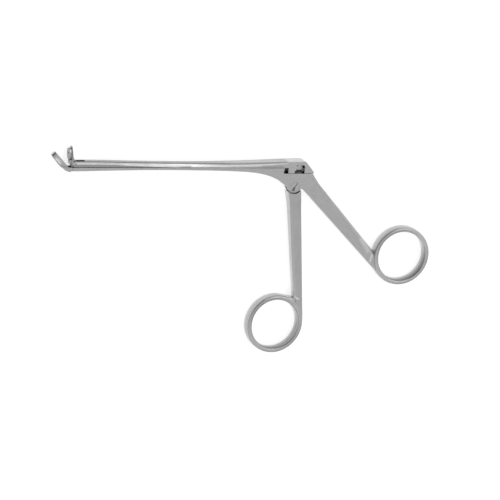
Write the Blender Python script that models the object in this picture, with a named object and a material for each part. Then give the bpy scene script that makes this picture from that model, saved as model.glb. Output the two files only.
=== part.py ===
# Nasal forceps with a ring-shaped lower jaw, a hinged punch jaw and a sliding upper shaft.
#
# The drawing below is in millimetres: X along the shaft towards the handles, Y up from the
# sliding plane between the two shafts, Z through the thickness, 0 at the middle plane.
# The handle pivot is at X = 0. The last step turns millimetres into metres and puts the
# origin on the side face of the box joint, the face that the instrument lies on.
import math

import bmesh
import bpy
import numpy as np
from mathutils import Matrix, Vector

MM = 0.001

# Overall
SHAFT_LENGTH = 112.4        # handle pivot to jaw pivot, along the shaft
FINGER_RING_LENGTH = 65.9   # handle pivot down to the finger ring's centre
THUMB_RING_LENGTH = 33.3    # handle pivot down to the thumb ring's centre
PLATE = 4.8                 # thickness of box joint, rings and jaw ring

# Fits and edges
EDGE = 0.2             # broken edge round the box joint
SLIDE_FIT = 0.1        # gap between slide and lower shaft
SIDE_FIT = 0.15        # gap on each side of a tongue in its slot
PIN_FIT = 0.05         # radial gap round a pin that turns
ROUND_STEPS = 32       # facets in a full turn of a small hole or pin

# Lower shaft
SHAFT_HALF = 2.0       # half width of both shafts
SHAFT_HEEL = 0.35      # chamfer along its underside
SHAFT_DEPTH_FRONT = 1.85
SHAFT_DEPTH_SLIM = 1.2
SHAFT_DEPTH_REAR = 1.95
BEND_RADIUS = 6.0      # round under the bend into the jaw

# Slide
SLIDE_HEIGHT_FRONT = 2.9
SLIDE_HEIGHT_SLIM = 2.2
SLIDE_HEIGHT_REAR = 3.4
SLIDE_FLAT_HALF = 1.2  # half width of the flat along the top
SHOULDER_DROP = 0.35   # narrow shoulder beside that flat
FACET_DROP_FRONT = 1.0 # height of the side facet at the nose
FACET_DROP_SLIM = 2.0
HEAD_TOP_REACH = 3.9   # where the head starts to slope down, behind the pivot
HEAD_HEEL_REACH = 8.6 # lower rear corner of the head
HEAD_HEEL_DEPTH = 1.8
HEAD_ROUND = 1.0       # length of the round between its top and its slope
TOOTH_REACH = 4.25     # front of the slide's tooth, ahead of the pivot
TOOTH_BOTTOM_GAP = 0.12

# Box joint
BOX_REACH = 12.0       # box joint begins this far ahead of the pivot
POCKET_DEPTH = 2.55    # floor of the pocket below the sliding plane
POCKET_REACH = 6.3     # front of the pocket, ahead of the pivot
PIVOT_DEPTH = 8.9      # handle pivot below the sliding plane
LUG_RADIUS = 3.8
LUG_BOTTOM = 2.9       # lug reaches this far below the pivot
LUG_FRONT = 5.6        # and the box joint's front edge meets it here
TONGUE = 2.2           # thickness of the lever's tongue
CHANNEL_FRONT = 2.7
CHANNEL_REAR = 4.6

# Front lever
LEVER_THICK = 4.2
HEAD_REACH = 8.25      # pivot to the centre of the drive head
HEAD_LEAN = 11.9       # degrees from upright with the jaws open
HEAD_RADIUS = 2.05
NECK_RADIUS = 1.4
HUB_RADIUS = 2.85
SHOULDER_RADIUS = 3.7  # concave shoulder round the pivot
FRONT_LEAN = 8.8       # degrees that the handle leans from square to the shaft
FRONT_WIDTH_TOP = 5.7
FRONT_WIDTH_RING = 4.0
FRONT_EDGE_REACH = 3.9 # top of its straight edge, behind and below the pivot
FRONT_EDGE_DROP = 4.1
FINGER_RING_PROUD = -0.25   # ring past the handle's straight edge

# Rear handle
REAR_LEAN = 47.0       # degrees that the handle leans from square to the shaft
REAR_WIDTH_TOP = 7.25
REAR_WIDTH_RING = 4.65
CROTCH_REACH = 4.05
CROTCH_DROP = 0.85     # crotch below the pivot
ROOT_START = 0.4       # rear handle begins this far past the crotch
ROOT_REACH = 3.5       # the box joint carries this much of the handle's root
ROOT_INSET = 0.04      # and lies this far inside the handle's own edges
THUMB_RING_PROUD = 0.4

# Handles and rings
HANDLE_THICK_RING = 3.2
BEVEL_RING = 1.5       # width of the side bevel where the handle meets its ring
BEVEL_TOP = 0.3
RING_BORE = 22.9
RING_WALL = 2.25
RING_CORNER = 0.75
RING_STEPS = 64
RING_WEB = 1.0         # web that fills the corner above the finger ring, past its rim

# Pivot screw
SCREW_HEAD_RADIUS = 2.1
SCREW_HEAD_DEPTH = 0.7
SCREW_SHANK_RADIUS = 1.3
SCREW_SLOT = 0.5
SCREW_SLOT_DEPTH = 0.45
SCREW_SLOT_TURN = 55.0

# Lower jaw, measured along (reach) and below its top plane from the jaw pivot
JAW_RISE = 45.0        # lower jaw points up by this angle
JAW_PIVOT_DEPTH = 0.75
BITE_OFFSET = 1.08     # the ring's top plane lies this far ahead of the jaw pivot
JAW_REACH = 12.6       # jaw pivot to the tip of the ring
JAW_WIDEST = 6.9
RING_BAND = 2.25
JAW_WALL = 0.55
JAW_HEEL = 0.3         # the ring narrows this much on each side towards its underside
WINDOW_START = 3.5

# Upper jaw
UPPER_LEAN = 3.5       # degrees that the open upper jaw leans over the lower one
BITE_GAP = 0.1
FLANGE_REACH = 10.9    # jaw pivot to the tip of the domed flange
FLANGE_WIDEST = 6.2
FLANGE_DEPTH = 1.75    # thickness of the flange at its base
FLANGE_MID_DEPTH = 0.8
FLANGE_TIP_DEPTH = 0.35
FLANGE_RIM = 0.25      # straight edge of the flange before its domed back
FLANGE_START = 1.3
PUNCH_HEIGHT_TIP = 1.4
PUNCH_HEIGHT_BASE = 0.9
PUNCH_START = 3.9
PUNCH_END = 10.1
PUNCH_FIT = 0.2
HOLE_RADIUS = 0.42     # small hole through flange and punch
HOLE_REACH = 7.6
WEB = 1.8
WEB_ROOT = 4.7         # web meets the flange's back at this height
WEB_TAIL = 2.0         # reach of the web behind the pivot, inside the slide's slot
JAW_PIN_RADIUS = 0.4
LINK_REACH = 2.35      # jaw pivot to link pin
NOSE_RADIUS = 1.15
NOSE_FIT = 0.25        # gap between the slide's nose and the hollow in the upper jaw
SLOT_LENGTH = 6.0      # slot in the slide's nose, back from the jaw pivot
SEAT_FIT = 0.12

# Tee rails, two on the lower shaft
TEE_SHARES = (0.845, 0.249) # their places as shares of the shaft's length
TEE_LENGTH = 4.0
TEE_NECK = 1.0
TEE_NECK_HEIGHT = 0.5
TEE_HEAD = 1.8
TEE_HEAD_HEIGHT = 0.5
TEE_FIT = 0.12

# Origin on the box joint's side face
ORIGIN_DEPTH = 4.2

# Values that follow from the sizes above
HALF = PLATE / 2
JAW_SWING = 90.0 - JAW_RISE - UPPER_LEAN
LINK_ANGLE = math.radians(90.0 - JAW_SWING / 2)
LEAN = math.radians(HEAD_LEAN)
TRAVEL = 2 * LINK_REACH * math.cos(LINK_ANGLE)
PIVOT = Vector((0.0, -PIVOT_DEPTH))
JAW_PIVOT = Vector((-SHAFT_LENGTH, -JAW_PIVOT_DEPTH))
LINK = JAW_PIVOT + LINK_REACH * Vector((math.cos(LINK_ANGLE), math.sin(LINK_ANGLE)))
HEAD_CENTRE = PIVOT + HEAD_REACH * Vector((math.sin(LEAN), math.cos(LEAN)))
RING_OUTER = RING_BORE / 2 + RING_WALL
TOOTH_BOTTOM = -POCKET_DEPTH + TOOTH_BOTTOM_GAP
SLOT_HALF = TONGUE / 2 + SIDE_FIT
WEB_SLOT_HALF = WEB / 2 + SIDE_FIT


def arc(centre, radius, start, end, steps):
    """Points on an arc, angles in degrees, both ends included."""
    angles = np.radians(np.linspace(start, end, steps + 1))
    return [(centre[0] + radius * math.cos(a), centre[1] + radius * math.sin(a)) for a in angles]


def circle(centre, radius, steps=ROUND_STEPS):
    return arc(centre, radius, 0.0, 360.0, steps)[:-1]


def smooth(knots, x):
    """Value at x of a smooth curve through the knots, (x, value) pairs, with no overshoot."""
    xs, ys = np.array(knots, dtype=float).T
    x = min(max(x, xs[0]), xs[-1])
    steps = np.diff(xs)
    rises = np.diff(ys) / steps
    slopes = np.zeros_like(ys)
    for k in range(1, len(xs) - 1):
        if rises[k - 1] * rises[k] > 0:
            slopes[k] = 2 * rises[k - 1] * rises[k] / (rises[k - 1] + rises[k])
    i = min(int(np.searchsorted(xs, x, side="right")), len(xs) - 1) - 1
    t = (x - xs[i]) / steps[i]
    start = (1 + 2 * t) * (1 - t) ** 2 * ys[i] + t * (1 - t) ** 2 * steps[i] * slopes[i]
    end = t * t * (3 - 2 * t) * ys[i + 1] + t * t * (t - 1) * steps[i] * slopes[i + 1]
    return float(start + end)


def belt(centre_a, radius_a, centre_b, radius_b, steps=12):
    """Outline of two circles and the straight lines that touch both."""
    a, b = Vector(centre_a), Vector(centre_b)
    along = math.degrees(math.atan2(b.y - a.y, b.x - a.x))
    swing = math.degrees(math.acos((radius_a - radius_b) / (b - a).length))
    return (arc(b, radius_b, along - swing, along + swing, steps)
            + arc(a, radius_a, along + swing, along + 360.0 - swing, steps))


def new_object(name, vertices, faces):
    """Object from millimetre points, with its faces turned outwards."""
    mesh = bpy.data.meshes.new(name)
    mesh.from_pydata([tuple(v) for v in vertices], [], faces)
    obj = bpy.data.objects.new(name, mesh)
    bpy.context.scene.collection.objects.link(obj)
    bm = bmesh.new()
    bm.from_mesh(mesh)
    bmesh.ops.recalc_face_normals(bm, faces=bm.faces)
    bm.to_mesh(mesh)
    bm.free()
    return obj


def loft(name, loops):
    """Closed solid through loops of 3-D points that all have the same count."""
    count = len(loops[0])
    vertices = [p for loop in loops for p in loop]
    faces = [tuple(range(count))[::-1], tuple(range(len(vertices) - count, len(vertices)))]
    for k in range(len(loops) - 1):
        for i in range(count):
            j = (i + 1) % count
            faces.append((k * count + i, k * count + j, (k + 1) * count + j, (k + 1) * count + i))
    return new_object(name, vertices, faces)


def prism(name, outline, low, high, bevel=0.0):
    """Outline in X and Y, extruded in Z, with an optional bevel round both faces."""
    obj = loft(name, [[(x, y, z) for x, y in outline] for z in (low, high)])
    if bevel:
        bm = bmesh.new()
        bm.from_mesh(obj.data)
        rims = [e for e in bm.edges if abs(e.verts[0].co.z - e.verts[1].co.z) < 1e-6]
        bmesh.ops.bevel(bm, geom=rims, offset=bevel, segments=1, affect="EDGES", clamp_overlap=True)
        bm.to_mesh(obj.data)
        bm.free()
    return obj


def boolean(target, tool, operation):
    """Applies an exact Boolean to the target and removes the tool."""
    modifier = target.modifiers.new("boolean", "BOOLEAN")
    modifier.operation = operation
    modifier.solver = "EXACT"
    modifier.object = tool
    view = bpy.context.evaluated_depsgraph_get()
    result = bpy.data.meshes.new_from_object(target.evaluated_get(view))
    target.modifiers.clear()
    old = target.data
    target.data = result
    bpy.data.meshes.remove(old)
    bpy.data.objects.remove(tool)
    return target


def join(target, *tools):
    for tool in tools:
        boolean(target, tool, "UNION")
    return target


def cut(target, *tools):
    for tool in tools:
        boolean(target, tool, "DIFFERENCE")
    return target


def keep(target, tool):
    return boolean(target, tool, "INTERSECT")


def along_shaft(knots, x):
    """Smooth value at x from knots given as (share of the shaft's length, value) pairs."""
    return smooth([(-share * SHAFT_LENGTH, value) for share, value in knots], x)


def slide_top(x):
    """Height of the slide's top: a slim middle, a raised head and its slope with a round between."""
    slope = (SLIDE_HEIGHT_REAR + HEAD_HEEL_DEPTH) / (HEAD_HEEL_REACH - HEAD_TOP_REACH)
    past = x - HEAD_TOP_REACH
    if past > HEAD_ROUND:
        return SLIDE_HEIGHT_REAR - slope * past
    if past > -HEAD_ROUND:
        return SLIDE_HEIGHT_REAR - slope * (past + HEAD_ROUND) ** 2 / (4 * HEAD_ROUND)
    front, slim, rear = SLIDE_HEIGHT_FRONT, SLIDE_HEIGHT_SLIM, SLIDE_HEIGHT_REAR
    return along_shaft([(1.0, front), (0.907, front), (0.694, 1.11 * slim), (0.427, slim),
                        (0.249, 1.14 * slim), (0.089, 0.9 * rear), (-0.022, rear)], x)


def shaft_half(x):
    """Half width of both shafts, which widen into the box joint."""
    return along_shaft([(0.534, SHAFT_HALF), (0.32, 1.025 * SHAFT_HALF), (0.125, HALF), (0.0, HALF)], x)


def shaft_bottom(x):
    """Depth of the lower shaft's underside, which swells into the box joint."""
    front, slim, rear = SHAFT_DEPTH_FRONT, SHAFT_DEPTH_SLIM, SHAFT_DEPTH_REAR
    lug = PIVOT_DEPTH - rear
    return -along_shaft([(1.03, front), (0.98, front), (0.872, 0.865 * front), (0.623, slim),
                         (0.427, 1.125 * slim), (0.231, rear), (0.165, rear + 0.108 * lug),
                         (0.118, rear + 0.281 * lug), (0.07, rear + 0.61 * lug),
                         (0.05, rear + 0.82 * lug)], x)


def slide_section(x):
    """Half section of the slide: top flat, shoulder, side facet and side, as (z, y) points."""
    top = slide_top(x)
    half = shaft_half(x)
    edge = EDGE / 2
    narrow, front, slim = SLIDE_FLAT_HALF, FACET_DROP_FRONT, FACET_DROP_SLIM
    flat = along_shaft([(0.534, narrow), (0.427, 1.17 * narrow), (0.249, 1.5 * narrow),
                        (0.142, 0.77 * HALF), (0.027, HALF - edge), (0.0, HALF - edge)], x)
    facet = along_shaft([(1.0, front), (0.872, front), (0.427, 0.95 * slim), (0.267, slim),
                         (0.16, 0.7 * slim), (0.089, 0.4 * slim), (0.027, edge), (0.0, edge)], x)
    drop = along_shaft([(0.178, SHOULDER_DROP), (0.027, edge)], x)
    step = min(0.75 * drop, 0.6 * (half - flat))
    return [(flat, top), (flat + step, top - drop), (half, top - drop - facet), (half, -2 * POCKET_DEPTH)]


def slide_envelope():
    """Solid that gives the slide its facets; it reaches below the slide on purpose."""
    shares = np.concatenate([np.linspace(1.015, 0.125, 30), np.linspace(0.107, 0.0, 8)])
    head = [HEAD_TOP_REACH + step * HEAD_ROUND for step in (-1.0, -0.6, -0.2, 0.2, 0.6, 1.0)]
    stations = list(-SHAFT_LENGTH * shares) + head + [HEAD_HEEL_REACH + HEAD_ROUND]
    loops = []
    for x in stations:
        half = slide_section(x)
        loops.append([(x, y, z) for z, y in half] + [(x, y, -z) for z, y in reversed(half)])
    return loft("slide_envelope", loops)


def slide_profile():
    """Side outline of the slide: nose, underside, tooth, head."""
    nose = [(x, max(y, SLIDE_FIT)) for x, y in arc(LINK, NOSE_RADIUS, 100.0, 262.0, 12)]
    rear = HEAD_HEEL_REACH + EDGE
    above = SLIDE_HEIGHT_REAR + PLATE
    return nose + [(-TOOTH_REACH, SLIDE_FIT), (-TOOTH_REACH, TOOTH_BOTTOM),
                   (HEAD_HEEL_REACH, TOOTH_BOTTOM), (rear, -HEAD_HEEL_DEPTH - EDGE),
                   (rear, above), (LINK.x + 0.5 * NOSE_RADIUS, above)]


def mortise_outline():
    """Window in the slide's head that the lever's drive head works in."""
    wide = HEAD_RADIUS + SLIDE_FIT
    left, right = HEAD_CENTRE.x - wide, HEAD_CENTRE.x + wide
    top = PIVOT.y + HEAD_REACH + HEAD_RADIUS + SLIDE_FIT
    low = TOOTH_BOTTOM - HALF
    corner = 0.5 * wide
    small = 0.15 * HEAD_RADIUS
    return ([(left, low), (right, low)] + arc((right - corner, top - corner), corner, 0.0, 90.0, 6)
            + arc((left + small, top - small), small, 90.0, 180.0, 3))


def tee_outline(neck, neck_height, head, head_height, base):
    """Section of a tee rail as (z, y) points, from its base up."""
    return [(-neck / 2, base), (neck / 2, base), (neck / 2, neck_height), (head / 2, neck_height),
            (head / 2, neck_height + head_height), (-head / 2, neck_height + head_height),
            (-head / 2, neck_height), (-neck / 2, neck_height)]


def tee_bar(name, section, start, end):
    return loft(name, [[(x, y, z) for z, y in section] for x in (start, end)])


def tee_groove(centre):
    """Groove that lets the slide travel over one rail, with the pocket the rail goes in by."""
    start = centre - TEE_LENGTH / 2 - TEE_FIT
    end = centre + TEE_LENGTH / 2 + TRAVEL + TEE_FIT
    low = SLIDE_FIT - TEE_HEAD_HEIGHT
    roof = SLIDE_FIT + TEE_NECK_HEIGHT + TEE_HEAD_HEIGHT + TEE_FIT
    section = tee_outline(TEE_NECK + 2 * TEE_FIT, TEE_NECK_HEIGHT - TEE_FIT, TEE_HEAD + 2 * TEE_FIT,
                          roof - TEE_NECK_HEIGHT + TEE_FIT, low)
    groove = tee_bar("tee_groove", section, start - TEE_FIT, end)
    wide = TEE_HEAD / 2 + TEE_FIT
    pocket = tee_bar("tee_pocket", [(-wide, low), (wide, low), (wide, roof), (-wide, roof)],
                     start - TEE_LENGTH - 2 * TEE_FIT, start)
    return join(groove, pocket)


def make_slide():
    slide = prism("upper_slide", slide_profile(), -PLATE, PLATE)
    keep(slide, slide_envelope())
    cut(slide, prism("mortise", mortise_outline(), -PLATE, PLATE))
    front, rear = LINK.x - 2 * NOSE_RADIUS, JAW_PIVOT.x + SLOT_LENGTH
    high = SLIDE_HEIGHT_FRONT + HALF
    slot = [(front, -HALF), (rear, -HALF), (rear, high), (front, high)]
    cut(slide, prism("nose_slot", slot, -WEB_SLOT_HALF, WEB_SLOT_HALF))
    rise = LINK_REACH * (1 - math.sin(LINK_ANGLE))
    eye = JAW_PIN_RADIUS + PIN_FIT
    cut(slide, prism("link_eye", belt(LINK, eye, LINK + Vector((0.0, rise)), eye, 10), -HALF, HALF))
    for share in TEE_SHARES:
        cut(slide, tee_groove(-share * SHAFT_LENGTH))
    return slide


def ring(name, centre):
    """Handle ring: a rounded section carried round the centre."""
    inner, outer = RING_BORE / 2 + RING_CORNER, RING_OUTER - RING_CORNER
    high = HALF - RING_CORNER
    corners = [((outer, high), 0.0), ((inner, high), 90.0),
               ((inner, -high), 180.0), ((outer, -high), 270.0)]
    section = [p for c, start in corners for p in arc(c, RING_CORNER, start, start + 90.0, 3)]
    count = len(section)
    vertices = []
    for k in range(RING_STEPS):
        turn = 2 * math.pi * k / RING_STEPS
        across = (math.cos(turn), math.sin(turn))
        vertices += [(centre[0] + r * across[0], centre[1] + r * across[1], z) for r, z in section]
    faces = []
    for k in range(RING_STEPS):
        n = (k + 1) % RING_STEPS
        for i in range(count):
            j = (i + 1) % count
            faces.append((k * count + i, k * count + j, n * count + j, n * count + i))
    return new_object(name, vertices, faces)


def handle_bar(name, start, end, side, widths, thick_top):
    """Tapered handle whose straight edge runs from start to end; the body lies to one side."""
    along = (end - start).normalized()
    across = Vector((-along.y, along.x)) * side
    loops = []
    for t in (k / 8 for k in range(9)):
        width = widths[0] + t * (widths[1] - widths[0])
        thick = (thick_top + t ** 0.8 * (HANDLE_THICK_RING - thick_top)) / 2
        bevel = BEVEL_TOP + t * (BEVEL_RING - BEVEL_TOP)
        sink = 0.55 * bevel
        base = start + t * (end - start)
        half = [(0.0, thick - EDGE), (EDGE, thick), (width - bevel, thick), (width, thick - sink)]
        section = half + [(s, -z) for s, z in reversed(half)]
        loops.append([(base.x + s * across.x, base.y + s * across.y, z) for s, z in section])
    return loft(name, loops)


def ring_centre(edge_point, lean, drop, side, proud):
    """Ring centre, and the point beside it on the handle's straight edge."""
    along = Vector((math.sin(math.radians(lean)), -math.cos(math.radians(lean))))
    across = Vector((-along.y, along.x)) * side
    start = edge_point + across * (RING_OUTER - proud)
    reach = (start.y - (PIVOT.y - drop)) / -along.y
    centre = start + along * reach
    return centre, edge_point + along * reach


def handle_with_ring(name, edge_point, lean, drop, side, proud, widths, thick_top):
    centre, touch = ring_centre(edge_point, lean, drop, side, proud)
    bar = handle_bar(name, edge_point, touch, side, widths, thick_top)
    hole = prism("ring_hole", circle(centre, RING_BORE / 2 + 0.55 * RING_WALL, RING_STEPS), -PLATE, PLATE)
    return join(cut(bar, hole), ring("ring", centre))


def ring_web(centre):
    """Web between the finger ring and the front edge of its handle."""
    near, far = RING_OUTER - RING_WALL / 2, RING_OUTER + RING_WEB
    corners = [(0.99 * RING_OUTER, 72.0), (near, 72.0), (near, 50.0), (far, 52.0), (far, 57.0)]
    points = [arc(centre, radius, angle, angle, 1)[0] for radius, angle in corners]
    return prism("ring_web", points, EDGE - HALF, HALF - EDGE)


def lower_shaft():
    """Lower shaft from the bend of the jaw to the box joint."""
    rear = POCKET_REACH / SHAFT_LENGTH
    shares = np.concatenate([np.linspace(1.05, 0.24, 24), np.linspace(0.21, rear, 13)])
    loops = []
    for x in -SHAFT_LENGTH * shares:
        half, low = shaft_half(x), shaft_bottom(x)
        corner = [(half, 0.0), (half, low + SHAFT_HEEL), (half - SHAFT_HEEL, low)]
        loops.append([(x, y, z) for z, y in corner] + [(x, y, -z) for z, y in reversed(corner)])
    return loft("fixed_limb", loops)


def jaw_point(u, v):
    """Point u along the lower jaw and v below its top plane, from the jaw pivot."""
    rise = math.radians(JAW_RISE)
    along = Vector((-math.cos(rise), math.sin(rise)))
    below = Vector((-math.sin(rise), -math.cos(rise)))
    return JAW_PIVOT + u * along + (BITE_OFFSET + v) * below


def oval(start, tip, half, widest, root=0.0, steps=12):
    """Outline of a jaw as (u, z): one ellipse from its widest place to the tip, one back to the root.

    A root of 0 closes the back on the axis; a wider root ends it square at that half width.
    """
    front = np.radians(np.linspace(90.0, 0.0, steps + 1))
    rear = np.radians(np.linspace(0.0, 90.0, steps + 1))[:-1]
    back = [(start + (widest - start) * (1 - math.cos(a)), root + (half - root) * math.sin(a))
            for a in rear]
    side = back + [(widest + (tip - widest) * math.cos(a), half * math.sin(a)) for a in front]
    return side + [(u, -z) for u, z in reversed(side[:-1]) if z > 0.0]


def jaw_loft(name, levels):
    """Outlines along the lower jaw, each at its own depth below the ring's top plane."""
    return loft(name, [[(*jaw_point(u, v), z) for u, z in outline] for v, outline in levels])


def jaw_prism(name, outline, top, bottom):
    return jaw_loft(name, [(top, outline), (bottom, outline)])


def ring_jaw():
    """Lower jaw: an oval ring that carries on from the shaft at its bend, and its window."""
    start = 0.0
    root = SHAFT_HALF
    full = oval(start, JAW_REACH, HALF, JAW_WIDEST, root)
    narrow = oval(start, JAW_REACH - JAW_HEEL, HALF - JAW_HEEL, JAW_WIDEST, root - SHAFT_HEEL)
    jaw = jaw_loft("ring_jaw", [(0.0, full), (0.4 * RING_BAND, full), (RING_BAND, narrow)])
    window = oval(WINDOW_START, JAW_REACH - JAW_WALL, HALF - JAW_WALL, JAW_WIDEST)
    return jaw, jaw_prism("jaw_window", window, -HALF, RING_BAND + HALF)


def bend_corner():
    """What the round under the bend takes off the corner between shaft and ring."""
    rise = math.radians(JAW_RISE)
    reach = BEND_RADIUS * math.tan(rise / 2)
    low = -SHAFT_DEPTH_FRONT
    sink = JAW_PIVOT.y - low
    corner = JAW_PIVOT.x - (BITE_OFFSET + RING_BAND - sink * math.cos(rise)) / math.sin(rise)
    centre = (corner + reach, low + BEND_RADIUS)
    return (arc(centre, BEND_RADIUS, 270.0, 270.0 - JAW_RISE, 10)
            + [(corner - PLATE, low), (corner - PLATE, low - PLATE), (corner + reach, low - PLATE)])


def box_outline():
    """Side outline of the box joint with its lug and the root of the rear handle."""
    under = [(-x, shaft_bottom(-x)) for x in np.linspace(BOX_REACH, LUG_FRONT, 7)]
    lug_centre = Vector((0.0, PIVOT.y - LUG_BOTTOM + LUG_RADIUS))
    lug = arc(lug_centre, LUG_RADIUS, 203.0, 322.0, 14)
    crotch = Vector((CROTCH_REACH, PIVOT.y - CROTCH_DROP))
    lean = math.radians(REAR_LEAN)
    along = Vector((math.sin(lean), -math.cos(lean)))
    across = Vector((-along.y, along.x))
    root = crotch + ROOT_REACH * along + ROOT_INSET * across
    back = root + across * (REAR_WIDTH_TOP - 2 * ROOT_INSET)
    shoulder = (HEAD_HEEL_REACH - 2 * EDGE, -POCKET_DEPTH)
    return ([(-BOX_REACH, 0.0)] + under + lug + [tuple(crotch), tuple(root), tuple(back)]
            + [shoulder, (-POCKET_REACH, -POCKET_DEPTH), (-POCKET_REACH, 0.0)])


def channel_outline():
    """Slot through the box joint that the lever's tongue swings in."""
    low = SHOULDER_RADIUS - 2 * EDGE
    high = -POCKET_DEPTH + HALF / 2
    return [(-low, PIVOT.y), (low, PIVOT.y), (CHANNEL_REAR, high), (-CHANNEL_FRONT, high)]


def cut_jaw_seat(limb):
    """Slot for the upper jaw's web, and the pivot pin's hole."""
    low = -0.82 * SHAFT_DEPTH_FRONT
    front, rear = JAW_PIVOT.x - WEB_TAIL - SEAT_FIT, JAW_PIVOT.x + 3 * JAW_PIN_RADIUS
    slot = [(front, low), (rear, low), (rear, HALF), (front, HALF)]
    cut(limb, prism("web_slot", slot, -WEB_SLOT_HALF, WEB_SLOT_HALF))
    cut(limb, prism("jaw_pin_hole", circle(JAW_PIVOT, JAW_PIN_RADIUS + PIN_FIT), -HALF, HALF))


def cut_screw_seat(limb):
    """Countersunk seat and clearance hole for the pivot screw."""
    cut(limb, prism("screw_hole", circle(PIVOT, SCREW_SHANK_RADIUS + PIN_FIT), -PLATE, PLATE))
    seat = circle(PIVOT, SCREW_HEAD_RADIUS + PIN_FIT)
    cut(limb, prism("screw_seat", seat, HALF - SCREW_HEAD_DEPTH - PIN_FIT, PLATE))


def make_fixed_limb():
    limb = lower_shaft()
    jaw, window = ring_jaw()
    bend = jaw_prism("bend", [(0.0, -PLATE), (JAW_REACH, -PLATE), (JAW_REACH, PLATE), (0.0, PLATE)],
                     RING_BAND, 3 * PLATE)
    cut(limb, bend)
    join(limb, jaw)
    cut(limb, window, prism("bend_round", bend_corner(), -PLATE, PLATE))
    join(limb, prism("box", box_outline(), -HALF, HALF, EDGE))
    lean = math.radians(REAR_LEAN)
    crotch = Vector((CROTCH_REACH, PIVOT.y - CROTCH_DROP))
    root = crotch + ROOT_START * Vector((math.sin(lean), -math.cos(lean)))
    join(limb, handle_with_ring("rear_handle", root, REAR_LEAN, THUMB_RING_LENGTH, 1.0, THUMB_RING_PROUD,
                                (REAR_WIDTH_TOP, REAR_WIDTH_RING), PLATE - 0.1 * EDGE))
    cut(limb, prism("channel", channel_outline(), -SLOT_HALF, SLOT_HALF))
    cut(limb, prism("lug_slot", circle(PIVOT, SHOULDER_RADIUS + PIN_FIT, 48), -SLOT_HALF, SLOT_HALF))
    cut_jaw_seat(limb)
    cut_screw_seat(limb)
    rail = tee_outline(TEE_NECK, TEE_NECK_HEIGHT + SLIDE_FIT, TEE_HEAD, TEE_HEAD_HEIGHT, -TEE_NECK_HEIGHT)
    for centre in (-share * SHAFT_LENGTH for share in TEE_SHARES):
        join(limb, tee_bar("tee_rail", rail, centre - TEE_LENGTH / 2, centre + TEE_LENGTH / 2))
    return limb


def lever_edge(lean):
    """Unit vector along the front handle and the one across it, towards the jaw."""
    along = Vector((math.sin(math.radians(lean)), -math.cos(math.radians(lean))))
    return along, Vector((along.y, -along.x))


def make_lever():
    along, across = lever_edge(FRONT_LEAN)
    edge = PIVOT + Vector((FRONT_EDGE_REACH, -FRONT_EDGE_DROP))
    lever = handle_with_ring("front_lever", edge, FRONT_LEAN, FINGER_RING_LENGTH, -1.0, FINGER_RING_PROUD,
                             (FRONT_WIDTH_TOP, FRONT_WIDTH_RING), LEVER_THICK)
    join(lever, ring_web(ring_centre(edge, FRONT_LEAN, FINGER_RING_LENGTH, -1.0, FINGER_RING_PROUD)[0]))
    foot = edge + ROOT_REACH * along + ROOT_INSET * across
    left_foot = foot + across * (FRONT_WIDTH_TOP - 2 * ROOT_INSET)
    shoulder = arc(PIVOT, SHOULDER_RADIUS, -138.0, -33.0, 16)
    top_right = edge - 0.6 * ROOT_REACH * along + ROOT_INSET * across
    body = shoulder + [tuple(top_right), tuple(foot), tuple(left_foot)]
    join(lever, prism("lever_body", body, -LEVER_THICK / 2, LEVER_THICK / 2))
    inner = 2 * EDGE * across
    low = foot + along
    tongue_foot = [(-0.9 * HUB_RADIUS, PIVOT.y - 0.7 * HUB_RADIUS), tuple(left_foot + along - inner),
                   tuple(low + inner), (0.9 * HUB_RADIUS, PIVOT.y - 0.7 * HUB_RADIUS)]
    tongue = prism("tongue", belt(PIVOT, HUB_RADIUS, HEAD_CENTRE, NECK_RADIUS), -TONGUE / 2, TONGUE / 2)
    join(tongue, prism("drive_head", circle(HEAD_CENTRE, HEAD_RADIUS), -TONGUE / 2, TONGUE / 2))
    join(tongue, prism("tongue_foot", tongue_foot, -TONGUE / 2, TONGUE / 2))
    join(lever, tongue)
    cut(lever, prism("pivot_hole", circle(PIVOT, SCREW_SHANK_RADIUS + PIN_FIT), -PLATE, PLATE))
    return lever


def bite_point(u, v):
    """Point on the open upper jaw: u up from its pivot, v towards the lower jaw."""
    lean = math.radians(UPPER_LEAN)
    up = Vector((-math.sin(lean), math.cos(lean)))
    ahead = Vector((-math.cos(lean), -math.sin(lean)))
    return tuple(JAW_PIVOT + float(u) * up + float(v) * ahead)


def flange():
    """Domed flange: a flat biting face whose oval narrows to the tip, with an arched back."""
    face = BITE_OFFSET - BITE_GAP
    straight = [(u, HALF) for u in np.linspace(FLANGE_START, FLANGE_WIDEST, 5)[:-1]]
    angles = np.radians(np.linspace(90.0, 4.0, 12))
    tip = FLANGE_REACH - FLANGE_WIDEST
    rounded = [(FLANGE_WIDEST + tip * math.cos(a), HALF * math.sin(a)) for a in angles]
    depth = [(FLANGE_START, FLANGE_DEPTH), (0.35 * FLANGE_REACH, FLANGE_DEPTH),
             (0.68 * FLANGE_REACH, FLANGE_MID_DEPTH), (FLANGE_REACH, FLANGE_TIP_DEPTH)]
    loops = []
    for u, half in straight + rounded:
        dome = smooth(depth, u) - FLANGE_RIM
        back = [(face - FLANGE_RIM - dome * math.sin(a), half * math.cos(a))
                for a in np.linspace(0.0, math.pi, 13)]
        section = [(face, -half), (face, half)] + back
        loops.append([(*bite_point(u, v), z) for v, z in section])
    return loft("upper_jaw", loops)


def bite_prism(name, outline, v_low, v_start, v_end):
    """Outline of (u, z) points on the upper jaw, from v_low up to a top that slopes."""
    first, last = min(u for u, z in outline), max(u for u, z in outline)
    slope = (v_end - v_start) / (last - first)
    low = [(*bite_point(u, v_low), z) for u, z in outline]
    high = [(*bite_point(u, v_start + slope * (u - first)), z) for u, z in outline]
    return loft(name, [low, high])


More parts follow.
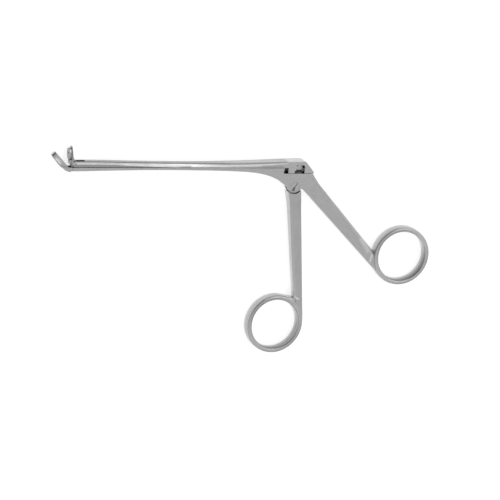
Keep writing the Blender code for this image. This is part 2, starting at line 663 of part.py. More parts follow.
def seat_wedge():
    """Everything below the plane in which the closed jaw would meet the lower shaft."""
    rise = math.radians(JAW_RISE)

    def lift(v):
        return (JAW_PIVOT_DEPTH + v * math.cos(rise)) / math.sin(rise) + SEAT_FIT

    corners = [(lift(-PLATE), -PLATE), (lift(PLATE), PLATE), (lift(-PLATE), PLATE)]
    return prism("seat_wedge", [bite_point(u, v) for u, v in corners], -PLATE, PLATE)


def web_profile():
    """Side outline of the central web: eye round the pivot, link eye, tail in the slide's slot."""
    reach = JAW_PIVOT_DEPTH + SLIDE_HEIGHT_FRONT - EDGE
    points = circle(JAW_PIVOT, JAW_PIN_RADIUS + SIDE_FIT + SLIDE_FIT, 20)
    corners = [(reach, -WEB_TAIL), (0.5 * reach, -0.7 * WEB_TAIL),
               (WEB_ROOT, BITE_OFFSET - 0.9 * FLANGE_DEPTH),
               (reach, 0.6 * BITE_OFFSET), (0.65 * reach, 0.5 * BITE_OFFSET)]
    return hull(points + [bite_point(u, v) for u, v in corners])


def hull(points):
    """Convex outline round the points, anticlockwise."""
    points = sorted(set((round(x, 6), round(y, 6)) for x, y in points))

    def chain(ordered):
        line = []
        for p in ordered:
            while len(line) > 1 and turn(line[-2], line[-1], p) <= 0:
                line.pop()
            line.append(p)
        return line[:-1]

    return chain(points) + chain(points[::-1])


def turn(a, b, c):
    return (b[0] - a[0]) * (c[1] - a[1]) - (b[1] - a[1]) * (c[0] - a[0])


def make_upper_jaw():
    jaw = flange()
    cut(jaw, prism("nose_hollow", circle(LINK, NOSE_RADIUS + NOSE_FIT), -PLATE, PLATE), seat_wedge())
    face = BITE_OFFSET - BITE_GAP
    outline = oval(PUNCH_START, PUNCH_END, HALF - JAW_WALL - PUNCH_FIT, JAW_WIDEST)
    heights = face + PUNCH_HEIGHT_BASE, face + PUNCH_HEIGHT_TIP
    join(jaw, bite_prism("punch", outline, face - FLANGE_RIM, *heights))
    hole = [(HOLE_REACH + u, z) for u, z in circle((0.0, 0.0), HOLE_RADIUS, 20)]
    cut(jaw, bite_prism("eject_hole", hole, face - PLATE, face + PLATE, face + PLATE))
    join(jaw, prism("web", web_profile(), -WEB / 2, WEB / 2))
    cut(jaw, prism("jaw_eye", circle(JAW_PIVOT, JAW_PIN_RADIUS + PIN_FIT), -PLATE, PLATE))
    cut(jaw, prism("link_hole", circle(LINK, JAW_PIN_RADIUS + PIN_FIT), -PLATE, PLATE))
    return jaw


def pin(name, centre, half):
    return prism(name, circle(centre, JAW_PIN_RADIUS), -half, half, 0.2 * JAW_PIN_RADIUS)


def make_screw():
    screw = prism("pivot_screw", circle(PIVOT, SCREW_SHANK_RADIUS), -HALF + 0.03, HALF - 0.3)
    head = circle(PIVOT, SCREW_HEAD_RADIUS)
    join(screw, prism("screw_head", head, HALF - SCREW_HEAD_DEPTH, HALF - 0.03))
    half, reach = SCREW_SLOT / 2, 2 * SCREW_HEAD_RADIUS
    turn_by = Matrix.Rotation(math.radians(SCREW_SLOT_TURN), 2)
    corners = [(-reach, -half), (reach, -half), (reach, half), (-reach, half)]
    slot = [tuple(PIVOT + turn_by @ Vector(p)) for p in corners]
    cut(screw, prism("screw_slot", slot, HALF - SCREW_SLOT_DEPTH, PLATE))
    return screw


def steel(name, colour, roughness):
    material = bpy.data.materials.new(name)
    material.use_nodes = True
    shader = material.node_tree.nodes["Principled BSDF"]
    shader.inputs["Base Color"].default_value = (*colour, 1.0)
    shader.inputs["Metallic"].default_value = 1.0
    shader.inputs["Roughness"].default_value = roughness
    return material


def finish(obj, name, centre, material):
    """Names a piece, turns it into metres and puts its origin on its joint's axis."""
    origin = Vector((0.0, -ORIGIN_DEPTH, -HALF))
    pivot = Vector((centre[0], centre[1], 0.0))
    obj.name = obj.data.name = name
    obj.data.transform(Matrix.Scale(MM, 4) @ Matrix.Translation(-pivot))
    obj.location = (pivot - origin) * MM
    obj.data.materials.clear()
    obj.data.materials.append(material)
    obj.data.shade_smooth()
    obj.data.set_sharp_from_angle(angle=math.radians(28))
    return obj


def main():
    for obj in list(bpy.data.objects):
        bpy.data.objects.remove(obj)
    frame = bpy.data.objects.new("forceps", None)
    bpy.context.scene.collection.objects.link(frame)
    satin = (0.56, 0.56, 0.56)
    origin = (0.0, -ORIGIN_DEPTH)
    pieces = [
        finish(make_fixed_limb(), "fixed_limb", origin, steel("satin_steel", satin, 0.34)),
        finish(make_slide(), "upper_slide", origin, steel("slide_steel", satin, 0.32)),
        finish(make_lever(), "front_lever", PIVOT, steel("lever_steel", satin, 0.34)),
        finish(make_upper_jaw(), "upper_jaw", JAW_PIVOT, steel("jaw_steel", (0.5, 0.5, 0.5), 0.3)),
        finish(pin("jaw_pivot_pin", JAW_PIVOT, SHAFT_HALF - 0.02), "jaw_pivot_pin", JAW_PIVOT,
               steel("pin_steel", (0.48, 0.48, 0.48), 0.3)),
        finish(pin("jaw_link_pin", LINK, SHAFT_HALF - 0.05), "jaw_link_pin", JAW_PIVOT,
               steel("link_pin_steel", (0.48, 0.48, 0.48), 0.3)),
        finish(make_screw(), "pivot_screw", PIVOT, steel("screw_steel", (0.52, 0.52, 0.52), 0.3)),
    ]
    for piece in pieces:
        piece.parent = frame


main()
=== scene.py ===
"""Nasal forceps of satin steel, lying on its side with the jaws open."""

import math

import bpy
import numpy as np
from mathutils import Matrix, Vector


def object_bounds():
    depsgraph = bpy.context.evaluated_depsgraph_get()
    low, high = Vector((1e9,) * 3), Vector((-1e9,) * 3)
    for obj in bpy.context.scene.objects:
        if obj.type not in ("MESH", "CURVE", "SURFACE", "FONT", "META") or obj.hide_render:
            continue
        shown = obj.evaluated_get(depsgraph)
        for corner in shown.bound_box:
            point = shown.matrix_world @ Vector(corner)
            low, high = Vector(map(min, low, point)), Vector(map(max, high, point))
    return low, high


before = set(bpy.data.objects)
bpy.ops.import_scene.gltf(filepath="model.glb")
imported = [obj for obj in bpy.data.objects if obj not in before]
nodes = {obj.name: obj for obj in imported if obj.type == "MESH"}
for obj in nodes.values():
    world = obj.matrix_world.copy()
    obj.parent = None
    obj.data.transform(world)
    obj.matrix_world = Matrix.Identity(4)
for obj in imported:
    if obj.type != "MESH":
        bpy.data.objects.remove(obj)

MM = 0.001
VIEW_WIDTH = 0.2285    # width of the photograph's frame at the instrument
AWAY = 1.6             # distance of the camera and the lamp from the instrument
MID_HEIGHT_MM = 2.4    # middle of the instrument's thickness, above the side face it lies on
VIEW_MIDDLE_MM = (-17.198, -35.759, MID_HEIGHT_MM)
OUTER_SIDE_MM = (1.7, 2.1)         # from that middle height, where the two outer sides begin
WHITE = (1.0, 1.0, 1.0)

GRAIN_STRETCH = (60.0, 1400.0, 1400.0)   # long streaks along the grain, fine ones across it
GRAIN_TURNS_MM = (4.0, 9.0)              # behind the pivot, along X, where the shaft's grain turns into the handle's
CLOUD_FINENESS = 190.0                   # patches of cloudy polish, about 5 mm wide
CREVICE_REACH_MM = 1.6                   # how near another surface must come for painted shade in a crevice

# Rings, as radii from their centres: bore 11.45, outside 13.7
RING_TOP_MM = 13.0         # inside this lies the inner wall with its rounded upper edge
RING_OUTSIDE_MM = 14.3     # just past the outer wall
RING_SOFT_MM = 14.0        # inside this the edges are rounder, by the next value
RING_ROUNDER_MM = 0.9
INNER_EDGE_MM = (11.6, 12.1, 12.6)  # a painted highlight arc between the first two, a painted shade arc between the last two
RING_UPPER_LEFT = (-0.6, 0.8, 0.0)

cad_low, cad_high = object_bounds()


# Materials

def add(tree, kind, **settings):
    """One shader node with its settings."""
    node = tree.nodes.new(kind)
    for name, value in settings.items():
        setattr(node, name, value)
    return node


def link_math(tree, operation, *values):
    """One math node on sockets or plain numbers."""
    node = add(tree, "ShaderNodeMath", operation=operation)
    for socket, value in zip(node.inputs, values):
        if isinstance(value, (int, float)):
            socket.default_value = value
        else:
            tree.links.new(value, socket)
    return node.outputs["Value"]


def own_place(tree):
    """The piece's own coordinates, in metres."""
    return add(tree, "ShaderNodeTexCoord").outputs["Object"]


def own_axes(tree):
    """The piece's own X, Y and Z, one output each."""
    split = add(tree, "ShaderNodeSeparateXYZ")
    tree.links.new(own_place(tree), split.inputs["Vector"])
    return split.outputs


def vector_math(tree, operation, first, second):
    """One vector math node on a socket and a socket or a plain vector."""
    node = add(tree, "ShaderNodeVectorMath", operation=operation)
    tree.links.new(first, node.inputs[0])
    if isinstance(second, bpy.types.NodeSocket):
        tree.links.new(second, node.inputs[1])
    else:
        node.inputs[1].default_value = second
    return node.outputs["Value" if operation in ("DOT_PRODUCT", "DISTANCE") else "Vector"]


def noise(tree, vector, scale, detail=3.0):
    """A noise pattern on a vector, from 0 to 1."""
    node = add(tree, "ShaderNodeTexNoise")
    node.inputs["Scale"].default_value = scale
    node.inputs["Detail"].default_value = detail
    tree.links.new(vector, node.inputs["Vector"])
    return node.outputs["Fac"]


def spread(tree, value, low, high, from_low=0.3, from_high=0.7):
    """A value carried from one range to another and held inside it."""
    node = add(tree, "ShaderNodeMapRange")
    node.inputs["From Min"].default_value = from_low
    node.inputs["From Max"].default_value = from_high
    node.inputs["To Min"].default_value = low
    node.inputs["To Max"].default_value = high
    tree.links.new(value, node.inputs["Value"])
    return node.outputs["Result"]


def mix_colour(tree, factor, first, second):
    """A colour between two, by a factor socket; each colour is a tuple or a socket."""
    node = add(tree, "ShaderNodeMix", data_type="RGBA")
    tree.links.new(factor, node.inputs["Factor"])
    for socket, colour in (("A", first), ("B", second)):
        target = [s for s in node.inputs if s.name == socket and s.type == "RGBA"][0]
        if isinstance(colour, tuple):
            target.default_value = (*colour, 1.0)
        else:
            tree.links.new(colour, target)
    return [s for s in node.outputs if s.type == "RGBA"][0]


def grey(level, blue_lift=0.005):
    """A grey that is a little bluer, as steel is."""
    return (level, level, level + blue_lift)


def tinted(level, red=1.0, green=1.0, blue=1.0):
    """A grey level with a slight tint."""
    return (level * red, level * green, level * blue)


def stretched_place(tree, turn_deg, scale):
    """The piece's own coordinates turned about Z, then stretched, for grain that runs along the turn."""
    turned = add(tree, "ShaderNodeMapping")
    turned.inputs["Rotation"].default_value = (0.0, 0.0, -math.radians(turn_deg))
    tree.links.new(own_place(tree), turned.inputs["Vector"])
    return vector_math(tree, "MULTIPLY", turned.outputs["Vector"], scale)


def near_spot(tree, centre_mm, reach_mm, soft_mm=0.5):
    """1 within reach of a spot seen along Z, fading softly to 0 outside it."""
    flattened = vector_math(tree, "MULTIPLY", own_place(tree), (1.0, 1.0, 0.0))
    away = vector_math(tree, "DISTANCE", flattened, (centre_mm[0] * MM, centre_mm[1] * MM, 0.0))
    return spread(tree, away, 1.0, 0.0, (reach_mm - soft_mm) * MM, (reach_mm + soft_mm) * MM)


def in_band(tree, centre_mm, inside_mm, outside_mm, inside_soft_mm=0.5, outside_soft_mm=0.5):
    """1 between two circles about a centre seen along Z."""
    return link_math(tree, "SUBTRACT", near_spot(tree, centre_mm, outside_mm, outside_soft_mm),
                     near_spot(tree, centre_mm, inside_mm, inside_soft_mm))


def any_spot(tree, centres_mm, reach_mm, soft_mm):
    """1 near any of several spots."""
    share = near_spot(tree, centres_mm[0], reach_mm, soft_mm)
    for centre in centres_mm[1:]:
        share = link_math(tree, "MAXIMUM", share, near_spot(tree, centre, reach_mm, soft_mm))
    return share


def inside_thickness(tree):
    """1 inside the thickness of the instrument, 0 on its two outer sides."""
    height = link_math(tree, "SUBTRACT", own_axes(tree)["Z"], MID_HEIGHT_MM * MM)
    return spread(tree, link_math(tree, "ABSOLUTE", height), 1.0, 0.0, *(side * MM for side in OUTER_SIDE_MM))


def curve_height(tree, along, stations_mm, full_mm=10.0):
    """The height of a smooth curve through (x, y) stations, at a place along X."""
    first, last = stations_mm[0][0], stations_mm[-1][0]
    path = add(tree, "ShaderNodeFloatCurve")
    points = path.mapping.curves[0].points
    places = [((x - first) / (last - first), y / full_mm) for x, y in stations_mm]
    points[0].location, points[-1].location = places[0], places[-1]
    for place in places[1:-1]:
        points.new(*place)
    path.mapping.update()
    tree.links.new(spread(tree, along, 0.0, 1.0, first * MM, last * MM), path.inputs["Value"])
    return link_math(tree, "MULTIPLY", path.outputs["Value"], full_mm * MM)


def along_line(tree, stations_mm, half_mm, soft_mm, begin_mm=22.0, end_mm=2.0):
    """1 on a line through (x, y) stations, fading softly beside it and towards both its ends."""
    place = own_axes(tree)
    first, last = stations_mm[0][0], stations_mm[-1][0]
    height = curve_height(tree, place["X"], stations_mm)
    beside = link_math(tree, "ABSOLUTE", link_math(tree, "SUBTRACT", place["Y"], height))
    on_line = spread(tree, beside, 1.0, 0.0, (half_mm - soft_mm) * MM, (half_mm + soft_mm) * MM)
    begins = spread(tree, place["X"], 0.0, 1.0, first * MM, (first + begin_mm) * MM)
    ends = spread(tree, place["X"], 1.0, 0.0, (last - end_mm) * MM, last * MM)
    return link_math(tree, "MULTIPLY", on_line, link_math(tree, "MULTIPLY", begins, ends))


def facing(tree, toward, start=0.0, end=0.7):
    """0 where the surface faces away from a direction, 1 where it faces it."""
    normal = add(tree, "ShaderNodeNewGeometry").outputs["Normal"]
    return spread(tree, vector_math(tree, "DOT_PRODUCT", normal, toward), 0.0, 1.0, start, end)


def facing_above(tree, toward, low_mm, high_mm, start=0.1, most=1.0):
    """The share of a surface that faces a direction, growing from 0 at one height to full at another."""
    upper = spread(tree, own_axes(tree)["Z"], 0.0, most, low_mm * MM, high_mm * MM)
    return link_math(tree, "MULTIPLY", facing(tree, toward, start), upper)


def brushed_grain(tree, turns):
    """Long fine streaks along the piece; a second direction takes over behind the pivot if there is one."""
    patterns = [noise(tree, stretched_place(tree, turn, GRAIN_STRETCH), 3.0, 4.0) for turn in turns]
    if len(patterns) == 1:
        return patterns[0]
    share = spread(tree, own_axes(tree)["X"], 0.0, 1.0, *(place * MM for place in GRAIN_TURNS_MM))
    kept = link_math(tree, "MULTIPLY", patterns[0], link_math(tree, "SUBTRACT", 1.0, share))
    return link_math(tree, "MULTIPLY_ADD", patterns[1], share, kept)


def ring_painted_shade_and_highlights(tree, colour, ring):
    """Painted shade on the upper edge of a ring's inner wall and on its upper outer wall, and a painted highlight
    arc and a painted shade arc inside.
    """
    # painted shade on the upper edge of the inner wall, where it faces the upper left
    upper_edge = spread(tree, own_axes(tree)["Z"], 0.25, 1.0, 1.6 * MM, 3.0 * MM)
    inner_side = link_math(tree, "MULTIPLY", near_spot(tree, ring, RING_TOP_MM), facing(tree, RING_UPPER_LEFT))
    colour = mix_colour(tree, link_math(tree, "MULTIPLY", inner_side, upper_edge), colour, grey(0.24))
    # painted shade on the outer wall where it faces the left, above a height
    outer_wall = in_band(tree, ring, RING_TOP_MM, RING_OUTSIDE_MM, inside_soft_mm=0.2)
    left_wall = facing_above(tree, (-0.85, 0.5, 0.0), 1.0, 3.6, start=0.0, most=0.9)
    colour = mix_colour(tree, link_math(tree, "MULTIPLY", outer_wall, left_wall), colour, grey(0.38))
    from_centre = vector_math(tree, "SUBTRACT", own_place(tree), (ring[0] * MM, ring[1] * MM, 0.0))
    toward = vector_math(tree, "DOT_PRODUCT", from_centre, RING_UPPER_LEFT)
    upper_left = spread(tree, toward, 0.0, 1.0, 6.5 * MM, 10.5 * MM)
    # a painted highlight arc and a painted shade arc on the upper left of the inner edge
    for number, tone in enumerate((WHITE, grey(0.4))):
        arc = in_band(tree, ring, INNER_EDGE_MM[number], INNER_EDGE_MM[number + 1], 0.12, 0.12)
        colour = mix_colour(tree, link_math(tree, "MULTIPLY", arc, upper_left), colour, tone)
    return colour


def polished_colour(tree, shade, fine, cloud, rounded):
    """Steel colour that varies with the grain and the cloudy polish and is lighter on worn edges."""
    grain_tone = mix_colour(tree, spread(tree, fine, 0.0, 1.0), tinted(0.94 * shade, red=0.99, blue=1.01),
                            tinted(1.05 * shade, blue=0.995))
    stained = mix_colour(tree, spread(tree, cloud, 0.0, 1.0, 0.55, 0.75), grain_tone,
                         tinted(0.94 * shade, green=0.995, blue=0.98))
    flat = add(tree, "ShaderNodeNewGeometry").outputs["Normal"]
    likeness = vector_math(tree, "DOT_PRODUCT", rounded, flat)
    return mix_colour(tree, spread(tree, likeness, 1.0, 0.0, 0.9, 0.99), stained, tinted(1.12 * shade))


def satin_steel(name, turns, shade=0.62, roughness=0.3, grain=1.0, edge_mm=0.16, ring=None, side=None,
                crevice=(0.1, 0.6), spots=(), lines=(), recess=None, clear=()):
    """Satin instrument steel: grain along the piece, soft worn edges, cloudy polish, painted shade in crevices.

    turns: directions of the grain, in degrees.  ring: centre of the piece's ring.
    side: direction, low height, high height and tone of painted shade on the side that faces that direction.
    spots: centres, reach, softness and tone of painted highlights and shade.  lines: stations, half width, softness
    and tone of painted highlights and shade.
    recess: centre, reach and softness of painted shade inside a pocket.  clear: spots without painted shade in
    crevices.
    """
    material = bpy.data.materials.new(name)
    material.use_nodes = True
    tree = material.node_tree
    surface = tree.nodes["Principled BSDF"]
    surface.inputs["Metallic"].default_value = 1.0
    fine = brushed_grain(tree, turns)
    cloud = noise(tree, own_place(tree), CLOUD_FINENESS)

    edge = add(tree, "ShaderNodeBevel", samples=6)
    edge.inputs["Radius"].default_value = edge_mm * MM
    if ring:
        in_ring = near_spot(tree, ring, RING_SOFT_MM)
        softer = link_math(tree, "MULTIPLY_ADD", in_ring, RING_ROUNDER_MM * MM, edge_mm * MM)
        tree.links.new(softer, edge.inputs["Radius"])
    rounded = edge.outputs["Normal"]

    colour = polished_colour(tree, shade, fine, cloud, rounded)
    if ring:
        # painted shade and highlights on the ring
        colour = ring_painted_shade_and_highlights(tree, colour, ring)
    # painted highlights and shade along lines
    for stations, half, soft, tone in lines:
        colour = mix_colour(tree, along_line(tree, stations, half, soft), colour, tone)
    if side:
        # painted shade on the surfaces facing the given direction, growing with height
        toward, low, high, tone = side
        colour = mix_colour(tree, facing_above(tree, toward, low, high), colour, tone)
    glancing = WHITE  # tone of the metal seen at a flat angle
    # painted shade inside the pocket, in the colour and in the metal's tone at a flat angle
    if recess:
        share = link_math(tree, "MULTIPLY", near_spot(tree, *recess), inside_thickness(tree))
        colour = mix_colour(tree, share, colour, grey(0.1, 0.002))
        glancing = mix_colour(tree, share, glancing, grey(0.3, 0.0))
    # painted highlights and shade at spots, in the colour and in the metal's tone at a flat angle
    for centres, reach, soft, tone in spots:
        share = any_spot(tree, centres, reach, soft)
        colour = mix_colour(tree, share, colour, tone)
        glancing = mix_colour(tree, share, glancing, tone)
    # painted shade in crevices, in the colour and in the metal's tone at a flat angle
    near = add(tree, "ShaderNodeAmbientOcclusion", samples=8)
    near.inputs["Distance"].default_value = CREVICE_REACH_MM * MM
    painted_crevice_shade = spread(tree, near.outputs["AO"], 1.0, 0.0, *crevice)
    if clear:
        kept = link_math(tree, "SUBTRACT", 1.0, any_spot(tree, clear, 1.0, 0.3))
        painted_crevice_shade = link_math(tree, "MULTIPLY", painted_crevice_shade, kept)
    tree.links.new(mix_colour(tree, painted_crevice_shade, colour, grey(0.05, 0.002)), surface.inputs["Base Color"])
    tree.links.new(mix_colour(tree, painted_crevice_shade, glancing, grey(0.1, 0.0)), surface.inputs["Specular Tint"])

    uneven = link_math(tree, "ADD", spread(tree, fine, roughness - 0.05, roughness + 0.05),
                       spread(tree, cloud, -0.03, 0.04))
    tree.links.new(uneven, surface.inputs["Roughness"])
    bump = add(tree, "ShaderNodeBump")
    bump.inputs["Strength"].default_value = 0.14 * grain
    bump.inputs["Distance"].default_value = 0.02 * MM
    tree.links.new(fine, bump.inputs["Height"])
    tree.links.new(rounded, bump.inputs["Normal"])
    tree.links.new(bump.outputs["Normal"], surface.inputs["Normal"])
    return material


def dress(node, material):
    """Gives a CAD node one finished material."""
    for slot in nodes[node].material_slots:
        slot.material = material


def spots_between(first, last, number):
    """Evenly spaced spots on a straight line between two, both ends included."""
    return [tuple(a + (b - a) * step / (number - 1) for a, b in zip(first, last)) for step in range(number)]


# Places on the instrument, (x, y) in mm from the side face's centre

THUMB_RING = (58.35, -38.0)
FINGER_RING = (-0.65, -70.6)

# Painted shade in the window of the slide's head: the pocket in front of the drive head, the strip under it and the
# far end
WINDOW_SHADE_TONE = grey(0.06, 0.002)
WINDOW_SHADE = [(((-5.9, 2.4), (-5.3, 2.4), (-5.5, 3.1)), 0.7, 0.2, WINDOW_SHADE_TONE),
          (spots_between((-0.5, 2.4), (2.6, 2.45), 8), 0.7, 0.18, WINDOW_SHADE_TONE),
          (((3.1, 3.3), (3.2, 4.2), (3.0, 5.0)), 0.4, 0.35, WINDOW_SHADE_TONE)]
# Painted shade inside the pocket of the slide's head, between its outer sides
POCKET_SHADE = ((-5.0, 2.4), 2.2, 0.3)
# Painted shade in the slot of the pivot screw
SCREW_SLOT_SHADE = [(((-0.15, -5.55), (-0.35, -6.4)), 0.4, 0.3, grey(0.12, 0.002))]

# Ring jaw: a painted highlight on its side and painted shade on its tip
JAW_SIDE_HIGHLIGHT = [(((-121.5, 7.9), (-120.9, 7.4), (-120.3, 6.8)), 1.0, 0.6, WHITE)]
JAW_TIP_SHADE = [(((-123.4, 11.6), (-122.4, 10.6)), 1.0, 0.5, grey(0.62))]

# Handles, where they meet their rings: a painted highlight along the joint and a painted highlight on the widening
# bevel
THUMB_JOINT_HIGHLIGHT = [(spots_between((43.1, -40.5), (43.9, -36.2), 6), 0.42, 0.3, WHITE)]
FINGER_JOINT_HIGHLIGHT = [(spots_between((5.0, -56.7), (9.5, -58.7), 7), 0.4, 0.3, WHITE)]
REAR_FLARE_HIGHLIGHT = [(spots_between((37.2, -30.2), (41.2, -35.6), 6), 0.8, 0.6, grey(0.8))]
FRONT_FLARE_HIGHLIGHT = [(spots_between((2.4, -41.0), (5.6, -54.4), 12), 1.0, 0.7, grey(0.8))]

# Fine joints between slide and shaft that get no painted crevice shade
PLAIN_JOINTS = spots_between((-19.0, 4.3), (-8.5, 4.2), 9) + spots_between((5.0, 1.9), (7.4, 1.9), 3)

# Painted lines along the slide: painted shade on its facet in front, a painted highlight on the facet behind, and
# painted shade on the shoulder above it
FACET_FRONT = ((-134.0, 6.3), (-112.0, 6.3), (-89.7, 6.1), (-69.6, 5.8), (-54.0, 5.5))
FACET = ((-76.0, 5.85), (-69.6, 5.8), (-49.5, 5.4), (-29.4, 5.45), (-14.3, 6.15), (-4.0, 6.9))
FACET_WIDE = ((-62.0, 5.1), (-49.5, 5.05), (-29.4, 5.05), (-17.0, 5.3))
SHOULDER = ((-134.0, 7.0), (-112.0, 7.0), (-89.7, 6.7), (-69.6, 6.25), (-49.5, 6.25), (-29.4, 6.28),
            (-14.3, 6.7), (-4.0, 7.25))
SLIDE_PAINTED_LIGHT_LINES = [(FACET_FRONT, 1.0, 0.4, grey(0.42, 0.003)), (FACET, 0.4, 0.36, WHITE),
               (FACET_WIDE, 0.4, 0.36, grey(0.95, 0.0)), (SHOULDER, 0.36, 0.3, grey(0.32))]

# Shade on both sides of the joint between slide and shaft
JOINT_SHADE_LINES = [(((-134.0, 4.95), (-112.0, 4.95), (-89.7, 4.9), (-52.0, 4.8)), 0.55, 0.45, grey(0.42)),
               (((-36.0, 4.4), (-24.0, 4.5), (-6.0, 4.7)), 0.6, 0.5, grey(0.46))]

dress("fixed_limb", satin_steel("shaft_and_handle_steel", (0.0, -43.0), shade=0.6, ring=THUMB_RING,
                                crevice=(0.05, 0.58), recess=POCKET_SHADE, clear=PLAIN_JOINTS, lines=JOINT_SHADE_LINES,
                                spots=JAW_SIDE_HIGHLIGHT + THUMB_JOINT_HIGHLIGHT + WINDOW_SHADE + JAW_TIP_SHADE + SCREW_SLOT_SHADE + REAR_FLARE_HIGHLIGHT))
dress("upper_slide", satin_steel("slide_steel", (0.0,), crevice=(0.05, 0.58), recess=POCKET_SHADE,
                                 clear=PLAIN_JOINTS, lines=SLIDE_PAINTED_LIGHT_LINES + JOINT_SHADE_LINES, spots=WINDOW_SHADE))
# the lever gets painted shade on its side facing -X, near its upper face
dress("front_lever", satin_steel("lever_steel", (-81.2,), shade=0.57, edge_mm=0.3, ring=FINGER_RING,
                                 recess=POCKET_SHADE, side=((-1.0, 0.0, 0.0), 2.9, 4.3, grey(0.46)),
                                 spots=FINGER_JOINT_HIGHLIGHT + WINDOW_SHADE + FRONT_FLARE_HIGHLIGHT))
# the jaw gets painted shade on its side facing the upper left
dress("upper_jaw", satin_steel("jaw_steel", (93.5,), roughness=0.32, grain=0.3, edge_mm=0.2, crevice=(0.0, 0.4),
                               side=((-0.9, 0.1, 0.42), -1.0, 0.0, grey(0.36))))
dress("jaw_pivot_pin", satin_steel("pin_steel", (40.0,), edge_mm=0.08))
dress("jaw_link_pin", satin_steel("link_pin_steel", (40.0,), edge_mm=0.08))
dress("pivot_screw", satin_steel("screw_steel", (55.0,), roughness=0.28, edge_mm=0.1, crevice=(0.0, 0.35),
                                 spots=SCREW_SLOT_SHADE))


# Floor, light and camera

def flat_material(name, colour, seen_glow):
    """Pale floor paint that the camera sees a little brighter than the light on it."""
    material = bpy.data.materials.new(name)
    material.use_nodes = True
    tree = material.node_tree
    surface = tree.nodes["Principled BSDF"]
    surface.inputs["Base Color"].default_value = (*colour, 1.0)
    surface.inputs["Roughness"].default_value = 0.9
    surface.inputs["Specular IOR Level"].default_value = 0.0
    surface.inputs["Emission Color"].default_value = (*WHITE, 1.0)
    path = add(tree, "ShaderNodeLightPath")
    seen = link_math(tree, "MAXIMUM", path.outputs["Is Camera Ray"], path.outputs["Is Glossy Ray"])
    tree.links.new(link_math(tree, "MULTIPLY", seen, seen_glow), surface.inputs["Emission Strength"])
    return material


def make_floor(half_side=1.6, squares=8, under_part=0.00002):
    """A wide flat square: x and y run from -half_side to half_side, z = lowest point of the CAD - under_part."""
    corners = squares + 1
    line = np.linspace(-half_side, half_side, corners)
    x, y = np.meshgrid(line, line)
    points = np.stack([x, y, np.full_like(x, cad_low.z - under_part)], -1).reshape(-1, 3)
    first = (np.arange(squares)[:, None] * corners + np.arange(squares)).reshape(-1)
    faces = np.stack([first, first + 1, first + corners + 1, first + corners], -1)
    mesh = bpy.data.meshes.new("floor")
    mesh.from_pydata(points.tolist(), [], faces.tolist())
    floor = bpy.data.objects.new("floor", mesh)
    bpy.context.scene.collection.objects.link(floor)
    mesh.materials.append(flat_material("pale_floor", (0.6, 0.6, 0.6), 0.72))


def soft_lamp(name, toward, size, brightness):
    """A large square lamp in one direction from the instrument, as bright as a lit white panel."""
    lamp = bpy.data.lights.new(name, "AREA")
    lamp.size = size
    lamp.energy = brightness * math.pi * size ** 2
    obj = bpy.data.objects.new(name, lamp)
    bpy.context.scene.collection.objects.link(obj)
    middle = Vector((-0.02, -0.03, 0.0))
    obj.location = middle + AWAY * Vector(toward).normalized()
    obj.rotation_mode = "QUATERNION"
    obj.rotation_quaternion = (obj.location - middle).to_track_quat("Z", "Y")


def patch_of_room(tree, direction, toward, spread_deg, change):
    """How much a soft round patch of the room adds to, or takes from, its brightness."""
    likeness = vector_math(tree, "DOT_PRODUCT", direction, Vector(toward).normalized())
    patch = add(tree, "ShaderNodeMapRange", interpolation_type="SMOOTHSTEP")
    patch.inputs["From Min"].default_value = math.cos(math.radians(spread_deg))
    patch.inputs["From Max"].default_value = 1.0
    patch.inputs["To Min"].default_value = 0.0
    patch.inputs["To Max"].default_value = change
    tree.links.new(likeness, patch.inputs["Value"])
    return patch.outputs["Result"]


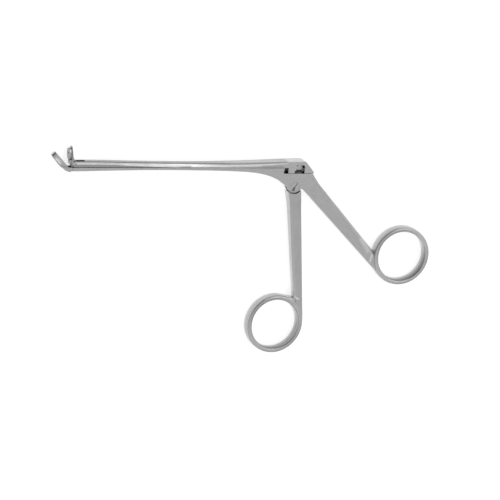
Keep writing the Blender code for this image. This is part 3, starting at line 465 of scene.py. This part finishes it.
def make_world(high, low, patches):
    """A pale room, darker near the horizon, with soft brighter and darker patches; white to the camera.

    patches: direction, spread in degrees and change of brightness.
    """
    world = bpy.data.worlds.new("studio_room")
    world.use_nodes = True
    bpy.context.scene.world = world
    tree = world.node_tree
    room = tree.nodes["Background"]
    room.inputs["Color"].default_value = (*WHITE, 1.0)
    direction = add(tree, "ShaderNodeTexCoord").outputs["Generated"]
    split = add(tree, "ShaderNodeSeparateXYZ")
    tree.links.new(direction, split.inputs["Vector"])
    total = spread(tree, split.outputs["Z"], low, high, 0.12, 0.6)
    for toward, spread_deg, change in patches:
        total = link_math(tree, "ADD", total, patch_of_room(tree, direction, toward, spread_deg, change))
    tree.links.new(link_math(tree, "MAXIMUM", total, 0.05), room.inputs["Strength"])
    white = add(tree, "ShaderNodeBackground")
    white.inputs["Color"].default_value = (*WHITE, 1.0)
    mixed = add(tree, "ShaderNodeMixShader")
    path = add(tree, "ShaderNodeLightPath")
    tree.links.new(path.outputs["Is Camera Ray"], mixed.inputs["Fac"])
    tree.links.new(room.outputs["Background"], mixed.inputs[1])
    tree.links.new(white.outputs["Background"], mixed.inputs[2])
    tree.links.new(mixed.outputs["Shader"], tree.nodes["World Output"].inputs["Surface"])


def make_camera():
    """The photograph's view: from the upper left, thirty degrees off square, without perspective."""
    right = Vector((0.90908, 0.12736, 0.39668))
    up = Vector((-0.00064, 0.95255, -0.30438))
    back = right.cross(up).normalized()
    data = bpy.data.cameras.new("camera")
    data.type = "ORTHO"
    data.ortho_scale = VIEW_WIDTH
    data.clip_start, data.clip_end = 0.05, 20.0
    camera = bpy.data.objects.new("camera", data)
    bpy.context.scene.collection.objects.link(camera)
    place = Vector(VIEW_MIDDLE_MM) * MM + back * AWAY
    turn = Matrix((right, up, back)).transposed().to_4x4()
    camera.matrix_world = Matrix.Translation(place) @ turn
    bpy.context.scene.camera = camera


ROOM_PATCHES = [((-0.6, -0.5, 0.62), 50.0, 0.2),       # pale wall on the left
                ((0.417, 0.29, 0.86), 22.0, 0.75),     # light in the slide's facet
                ((-0.54, 0.68, 0.49), 34.0, -0.42),    # dark in edges that face the upper left
                ((0.417, 0.866, 0.276), 26.0, -0.2),   # dark in the slide's shoulder
                ((0.911, 0.184, 0.364), 34.0, 0.35),   # light in the rear handle's bevel
                ((0.1, -0.55, 0.83), 20.0, 0.45)]      # light in the ring jaw's side

make_floor()
soft_lamp("upper_lamp", (0.4, 0.5, 0.76), 0.8, 0.95)
make_world(0.58, 0.2, ROOM_PATCHES)
make_camera()
bpy.context.scene.view_settings.view_transform = "Standard"
